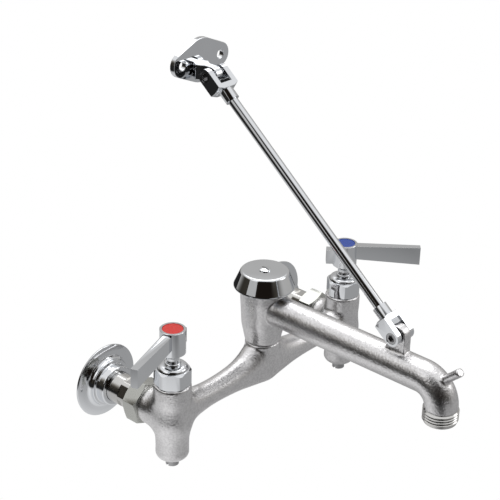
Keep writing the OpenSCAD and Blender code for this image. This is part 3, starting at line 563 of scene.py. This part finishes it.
def shankProfile(bar):
    # two rings close together at each end of the flats keep their ends square
    out, end, deep = bar["outR"], bar["flatEnd"], bar["supplyDeep"]
    return [(bar["supplyR"], 0), (out, 0), (out, bar["flatsFrom"]), (out, bar["flatsFrom"] + end),
            (out, bar["flatsTo"] - end), (out, bar["flatsTo"]), (out, bar["tailFrom"]),
            (bar["tailR"], bar["tailFrom"]), (bar["tailR"], bar["tailTo"]), (bar["boreR"], bar["tailTo"]),
            (bar["boreR"], deep), (bar["supplyR"], deep)]


flatEnds = (shankSet["flatsFrom"] + shankSet["flatEnd"] / 2, shankSet["flatsTo"] - shankSet["flatEnd"] / 2)
for label, side in sides.items():
    bar = milledFlats(spun(shankProfile(shankSet)), shankSet["across"], *flatEnds)
    dress(label + "_shank", label + "InletShank", at(inletPlace(side), bar), shankSet["edge"])


# Coupling nuts: hexagons with chamfered corners and a lip behind the shank's shoulder
nutSet = {
    "low": 37.2, "high": 51.0, "across": 31.75, "turn": 43, "face": 0.3, "chamfer": 1.5, "lip": 3.0,
    "lipR": 12.6, "threadR": 13.4, "edge": 0.45,
}


def nutProfile(nut):
    low, high, lip = nut["low"], nut["high"], nut["low"] + nut["lip"]
    face, corner = nut["across"] / 2 - nut["face"], nut["across"] / math.sqrt(3)
    return [(nut["lipR"], low), (face, low), (corner, low + nut["chamfer"]), (corner, high - nut["chamfer"]),
            (face, high), (nut["threadR"], high), (nut["threadR"], lip), (nut["lipR"], lip)]


for label, side in sides.items():
    blank = sawnFlats(spun(nutProfile(nutSet)), nutSet["across"], -side * nutSet["turn"])
    dress(label + "_coupling_nut", label + "CouplingNut", at(inletPlace(side), blank), nutSet["edge"])
print("escutcheons, shanks and coupling nuts turned")


# Bonnets: hexagons under a dome that carries the packing nut
bonnetSet = {
    "stemR": 4.2, "threadR": 11.14, "foot": 16.3, "rim": 28.6, "rimChamfer": 0.9, "bodyR": 14.2,
    "across": 25.6, "turn": 11, "shoulder": 41.7, "shoulderDrop": 1.1, "ledgeIn": 0.9, "ledge": 0.8,
    "groove": 0.2, "grooveRise": 0.1, "top": 45.3, "domeEndR": 7.3, "domeSteps": 10,
    "pocketR": 5.66, "pocketRimR": 6.4, "pocketChamfer": 0.7, "pocketFloor": 40.8, "edge": 0.3,
}


def bonnetProfile(bonnet):
    # the dome is a quarter ellipse from the groove above the flats up to the packing nut
    rim, chamfer, shoulder, top = bonnet["rim"], bonnet["rimChamfer"], bonnet["shoulder"], bonnet["top"]
    floor, pocket = bonnet["pocketFloor"], bonnet["pocketR"]
    domeR, domeLow = bonnet["across"] / 2 - bonnet["ledgeIn"], shoulder + bonnet["grooveRise"]
    turns = [math.pi / 2 * step / bonnet["domeSteps"] for step in range(bonnet["domeSteps"] + 1)]
    dome = [(domeR - (domeR - bonnet["domeEndR"]) * (1 - math.cos(turn)),
             domeLow + (top - domeLow) * math.sin(turn)) for turn in turns]
    return ([(bonnet["stemR"], bonnet["foot"]), (bonnet["threadR"], bonnet["foot"]), (bonnet["threadR"], rim),
             (bonnet["bodyR"] - chamfer, rim), (bonnet["bodyR"], rim + chamfer),
             (bonnet["bodyR"], shoulder - bonnet["shoulderDrop"]), (domeR + bonnet["ledge"], shoulder),
             (domeR + bonnet["groove"], shoulder)]
            + dome
            + [(bonnet["pocketRimR"], top), (pocket, top - bonnet["pocketChamfer"]), (pocket, floor),
               (bonnet["stemR"], floor)])


for label, side in sides.items():
    dome = sawnFlats(spun(bonnetProfile(bonnetSet)), bonnetSet["across"], -side * bonnetSet["turn"])
    dress(label + "_bonnet", label + "Bonnet", at(valvePlace(side), dome), bonnetSet["edge"])


# Packing nuts: small round nuts on the stems, brass in the record and plated outside
packingSet = {
    "stemR": 3.96, "threadR": 5.6, "outR": 6.4, "low": 40.8, "seat": 45.3, "top": 47.5,
    "chamfer": 0.6, "edge": 0.2,
}


def packingProfile(nut):
    out, top, chamfer = nut["outR"], nut["top"], nut["chamfer"]
    return [(nut["stemR"], nut["low"]), (nut["threadR"], nut["low"]), (nut["threadR"], nut["seat"]),
            (out, nut["seat"]), (out, top - chamfer), (out - chamfer, top), (nut["stemR"], top)]


for label, side in sides.items():
    nut = at(valvePlace(side), spun(packingProfile(packingSet)))
    dress(label + "_packing_nut", label + "PackingNut", nut, packingSet["edge"], "polished_chrome")


# Breaker cap: a spun dish with a leaning wall over a straight band
capSet = {
    "holeR": 2.3, "top": 86.8, "topR": 19.6, "round": 2.4, "wall": 1.4, "innerLean": 0.4, "innerRound": 0.6,
    "rim": 74.4, "rimR": 24.2, "rimRise": 0.4, "rimDrop": 0.2, "band": 73.1, "bandEdge": 0.3,
}


def capProfile(cap):
    top, rim, band, wall = cap["top"], cap["rim"], cap["band"], cap["wall"]
    topR, rimR, edge, corner = cap["topR"], cap["rimR"], cap["bandEdge"], cap["round"]
    lean = math.degrees(math.atan2(rimR - topR, top - corner - rim))
    return ([(cap["holeR"], top)]
            + arc(topR - corner, top - corner, corner, 90, lean)
            + [(rimR - edge, rim + cap["rimRise"]), (rimR, rim - cap["rimDrop"]), (rimR, band + edge),
               (rimR - edge, band), (rimR - wall, band), (rimR - wall, rim),
               (topR - wall - cap["innerLean"], top - corner),
               (topR - corner - cap["innerRound"], top - wall), (cap["holeR"], top - wall)])


dish = spun(capProfile(capSet), meshSet["aroundLarge"])
dress("breaker_cap", "breakerCap", at(riserPlace, dish))
print("bonnets, packing nuts and cap turned")


# Wall brace: a rod between two forks, each turned to a cone before its slot is milled
braceSet = {"pin": (0, -204.8, 81.2), "upperPin": (0, -17.5, 232.0)}
rodSet = {"r": 3.95, "from": 16.0, "around": 96, "edge": 0.3}
forkSet = {
    "back": -8, "outR": 13.0, "flat": 13.4, "shoulderR": 6.6, "shoulder": 16.9, "shoulderDrop": 0.6,
    "neckR": 5.7, "neckEnd": 25.5, "around": 64, "edge": 0.9,
}


def forkProfile(fork):
    back, outR, neckR = fork["back"], fork["outR"], fork["neckR"]
    return [(0, back), (outR, back), (outR, fork["flat"]), (fork["shoulderR"], fork["shoulder"]),
            (neckR, fork["shoulder"] + fork["shoulderDrop"]), (neckR, fork["neckEnd"]), (0, fork["neckEnd"])]


pin = Vector(braceSet["pin"])
span = Vector(braceSet["upperPin"]) - pin
upRod = Matrix.Translation(pin * mm) @ Matrix.Rotation(-math.atan2(span.y, span.z), 4, "X")
downRod = upRod @ Matrix.Translation((0, 0, span.length * mm)) @ Matrix.Rotation(math.pi, 4, "Y")
start, end, rodR = rodSet["from"], span.length - rodSet["from"], rodSet["r"]
rod = spun([(0, start), (rodR, start), (rodR, end), (0, end)], rodSet["around"])
dress("brace_rod", "braceRod", at(upRod, rod), rodSet["edge"])
for node, name, place in (("lower_fork", "lowerFork", upRod), ("upper_fork", "upperFork", downRod)):
    fork = dress(node, name, nodeCopy(node))
    carve(fork, at(place, spun(forkProfile(forkSet), forkSet["around"])), "INTERSECT")
    softenEdges(fork, forkSet["edge"])
    smoothShade(fork.data)
print("brace made")


# Handles, screws and the wall plate keep the CAD shape and get worked edges
workedSet = {"flatWithin": 0.4, "sharp": 12}
pairedPieces = {
    # name in the scene, and width of the edge
    "lever": ("LeverHandle", 0.8), "stem": ("Stem", 0.2), "index": ("IndexDisc", 0.5),
    "stop_stem": ("StopStem", 0.3),
}
singlePieces = {
    "cap_screw": ("capScrew", 0.3), "lower_pin": ("lowerPin", 0.25), "upper_pin": ("upperPin", 0.25),
    "wall_plate": ("wallPlate", 1.7), "air_seat": ("airSeat", 0.3), "breaker_float": ("breakerFloat", 0.3),
}
shownAs = {"hot_stem": "steel", "cold_stem": "steel"}  # brass in the record, plated where it shows
workedPieces = {label + "_" + kind: (label + name, edge) for label in sides
                for kind, (name, edge) in pairedPieces.items()}
workedPieces.update(singlePieces)
for node, (name, edge) in workedPieces.items():
    solid = nodeCopy(node)
    # flat faces in one piece take a clean edge
    bmesh.ops.dissolve_limit(solid, angle_limit=math.radians(workedSet["flatWithin"]), verts=solid.verts,
                             edges=solid.edges)
    dress(node, name, solid, edge, shownAs.get(node), workedSet["sharp"])
print("worked pieces made,", len(workedPieces))


# Camera, at the photograph's angle
cameraSet = {
    "target": (-1.57, -60.0, 99.26), "azimuth": -48.8, "elevation": 26.2, "roll": 1.69, "distance": 1133.76,
    "lens": 104.92, "sensor": 36, "reach": 20000,
}
azimuth, elevation, roll = (math.radians(cameraSet[key]) for key in ("azimuth", "elevation", "roll"))
back = Vector((math.sin(azimuth) * math.cos(elevation), -math.cos(azimuth) * math.cos(elevation),
               math.sin(elevation)))
level = Vector((math.cos(azimuth), math.sin(azimuth), 0))
right = math.cos(roll) * level + math.sin(roll) * back.cross(level)
camera = bpy.data.objects.new("studioCamera", bpy.data.cameras.new("studioCamera"))
bpy.context.scene.collection.objects.link(camera)
camera.data.lens = cameraSet["lens"]
camera.data.sensor_width = cameraSet["sensor"]
camera.data.clip_end = cameraSet["reach"] * mm
facing = Matrix((right, back.cross(right), back)).transposed().to_4x4()
stand = Vector(cameraSet["target"]) * mm + back * cameraSet["distance"] * mm
camera.matrix_world = Matrix.Translation(stand) @ facing
bpy.context.scene.camera = camera
bpy.context.scene.view_settings.view_transform = "Standard"


# Floor: matt white paper, plain white behind the object.
# In the metal it is bright at the left, greyer at the right, a little darker towards the wall,
# and dark beyond the table, but the paper runs on towards the bright side.
floorSet = {
    "height": -110, "half": 6000, "light": "#F2F2F3", "dark": "#F0F0F1", "mottleMm": 40, "mottleDetail": 2.0,
    "rough": 0.9, "white": 1.0,
    "tableTowards": (-0.75, 0.66, 0), "tableSpan": (-140, 120), "tableGrey": 0.40, "tableWhite": 0.90,
    "edgeSpan": (350, 560), "beyond": 0.02, "sweepTowards": (0.85, -0.5, 0), "sweepSpan": (-20, 200),
    "wallSpan": (-80, 80), "wallShade": 0.72,
}
floorMesh = bpy.data.meshes.new("studioFloor")
sheet = bmesh.new()
bmesh.ops.create_grid(sheet, x_segments=1, y_segments=1, size=floorSet["half"] * mm)
bmesh.ops.translate(sheet, verts=sheet.verts, vec=(0, 0, floorSet["height"] * mm))
sheet.to_mesh(floorMesh)
sheet.free()
floor = bpy.data.objects.new("studioFloor", floorMesh)
bpy.context.scene.collection.objects.link(floor)

# the paper's own colour
paper, tree, shader, place = newMaterial("matteStudioPaper")
floorMesh.materials.append(paper)
shader.inputs["Roughness"].default_value = floorSet["rough"]
mottle = addNode(tree, "ShaderNodeTexNoise",
                 {"Scale": 1 / (floorSet["mottleMm"] * mm), "Detail": floorSet["mottleDetail"]},
                 {"Vector": place})
tint = addNode(tree, "ShaderNodeMix",
               {mixLow: toLinear(floorSet["dark"]), mixHigh: toLinear(floorSet["light"])},
               {"Factor": mottle}, data_type="RGBA")
tree.links.new(tint.outputs[mixResult], shader.inputs["Base Color"])

# how far a spot lies along the table, along the sweep, towards the wall and from the middle
along = addNode(tree, "ShaderNodeVectorMath", {1: floorSet["tableTowards"]}, {0: place},
                operation="DOT_PRODUCT").outputs["Value"]
swept = addNode(tree, "ShaderNodeVectorMath", {1: floorSet["sweepTowards"]}, {0: place},
                operation="DOT_PRODUCT").outputs["Value"]
deep = addNode(tree, "ShaderNodeSeparateXYZ", links={"Vector": place}).outputs["Y"]
far = addNode(tree, "ShaderNodeVectorMath", links={0: place}, operation="LENGTH").outputs["Value"]
fades = {
    # what it goes by, between which values, and the light at both ends
    "table": (along, floorSet["tableSpan"], (floorSet["tableGrey"], floorSet["tableWhite"])),
    "sweep": (swept, floorSet["sweepSpan"], (0.0, 1.0)),
    "wall": (deep, floorSet["wallSpan"], (1.0, floorSet["wallShade"])),
    "edge": (far, floorSet["edgeSpan"], (1.0, 0.0)),
}
light = {}
for name, (source, between, ends) in fades.items():
    light[name] = addNode(tree, "ShaderNodeMapRange",
                          {"From Min": between[0] * mm, "From Max": between[1] * mm,
                           "To Min": ends[0], "To Max": ends[1]},
                          {"Value": source}, interpolation_type="SMOOTHSTEP")
shaded = addNode(tree, "ShaderNodeMath", links={0: light["table"], 1: light["wall"]}, operation="MULTIPLY")
onPaper = addNode(tree, "ShaderNodeMath", links={0: light["edge"], 1: light["sweep"]}, operation="MAXIMUM")
strength = addNode(tree, "ShaderNodeMapRange", {"To Min": floorSet["beyond"]},
                   {"Value": onPaper, "To Max": shaded})

# metal sees that light, the camera sees white, and all else sees the paper
sheen = addNode(tree, "ShaderNodeEmission", {"Color": plainWhite}, {"Strength": strength})
glow = addNode(tree, "ShaderNodeEmission", {"Color": plainWhite, "Strength": floorSet["white"]})
path = addNode(tree, "ShaderNodeLightPath")
inMetal = addNode(tree, "ShaderNodeMixShader", links={0: path.outputs["Is Glossy Ray"], 1: shader, 2: sheen})
seen = addNode(tree, "ShaderNodeMixShader", links={0: path.outputs["Is Camera Ray"], 1: inMetal, 2: glow})
tree.links.new(seen.outputs[0], tree.nodes["Material Output"].inputs["Surface"])


# World: a light tent, dimmer low down and on one side, and open at the front to a dark room
tentSet = {
    # height of the look from 0 level to 1 straight up, and how bright the tent is there
    "dimSide": [(0.0, 0.03), (0.34, 0.05), (0.48, 0.28), (0.64, 0.95), (1.0, 1.0)],
    "brightSide": [(0.0, 0.50), (0.30, 0.52), (0.48, 0.54), (0.66, 0.95), (1.0, 1.0)],
    # spans here are shares of looking straight that way
    "brightTowards": (0.95, 0.3, 0), "brightSpan": (-0.35, 0.3),
    # dim places are warmer: how much green and blue they lose, and the brightness between which that fades
    "greenLoss": 0.10, "blueLoss": 0.26, "warmSpan": (0.1, 0.6),
    "roomSpan": (0.74, 0.92), "room": (0.012, 0.009, 0.007, 1), "strength": 1.0, "white": 1.0,
}
world = bpy.data.worlds.new("softStudio")
bpy.context.scene.world = world
world.use_nodes = True
tree = world.node_tree
tree.nodes.clear()
around = addNode(tree, "ShaderNodeTexCoord").outputs["Generated"]
height = addNode(tree, "ShaderNodeSeparateXYZ", links={"Vector": around}).outputs["Z"]
walls = []
for levels in (tentSet["dimSide"], tentSet["brightSide"]):
    wall = addNode(tree, "ShaderNodeValToRGB", links={"Fac": height})
    marks = wall.color_ramp.elements
    for spot in levels[1:-1]:
        marks.new(spot[0])
    for mark, (position, value) in zip(marks, levels):
        warm = 1 - fade(value, *tentSet["warmSpan"])
        green, blue = (1 - tentSet[loss] * warm for loss in ("greenLoss", "blueLoss"))
        mark.position = position
        mark.color = (value, value * green, value * blue, 1)
    walls.append(wall.outputs["Color"])
looks = []
for towards, between in ((tentSet["brightTowards"], tentSet["brightSpan"]), (back, tentSet["roomSpan"])):
    look = addNode(tree, "ShaderNodeVectorMath", {1: tuple(towards)}, {0: around}, operation="DOT_PRODUCT")
    looks.append(addNode(tree, "ShaderNodeMapRange", {"From Min": between[0], "From Max": between[1]},
                         {"Value": look.outputs["Value"]}, interpolation_type="SMOOTHSTEP"))
towardsBright, towardsRoom = looks
tent = addNode(tree, "ShaderNodeMix", links={"Factor": towardsBright, mixLow: walls[0], mixHigh: walls[1]},
               data_type="RGBA")
studio = addNode(tree, "ShaderNodeMix", {mixHigh: tentSet["room"]},
                 {"Factor": towardsRoom, mixLow: tent.outputs[mixResult]}, data_type="RGBA")
lit = addNode(tree, "ShaderNodeBackground", {"Strength": tentSet["strength"]},
              {"Color": studio.outputs[mixResult]})
white = addNode(tree, "ShaderNodeBackground", {"Color": plainWhite, "Strength": tentSet["white"]})
path = addNode(tree, "ShaderNodeLightPath")
seen = addNode(tree, "ShaderNodeMixShader", links={0: path.outputs["Is Camera Ray"], 1: lit, 2: white})
addNode(tree, "ShaderNodeOutputWorld", links={"Surface": seen})


# Lamps: square softboxes that all face one spot
lampAim = Vector((0, -100, 60)) * mm
lamps = {
    # place, size and watts
    "overheadSoftbox": ((350, 250, 1200), 1000, 5.5),
    "leftSoftbox": ((-1100, 100, 750), 800, 1.0),
    "rightSoftbox": ((900, -900, 700), 600, 2.0),
}
for name, (spot, size, watts) in lamps.items():
    lamp = bpy.data.lights.new(name, "AREA")
    lamp.shape = "SQUARE"
    lamp.size = size * mm
    lamp.energy = watts
    softbox = bpy.data.objects.new(name, lamp)
    softbox.location = Vector(spot) * mm
    softbox.rotation_euler = (lampAim - softbox.location).to_track_quat("-Z", "Y").to_euler()
    bpy.context.scene.collection.objects.link(softbox)
print("studio set")
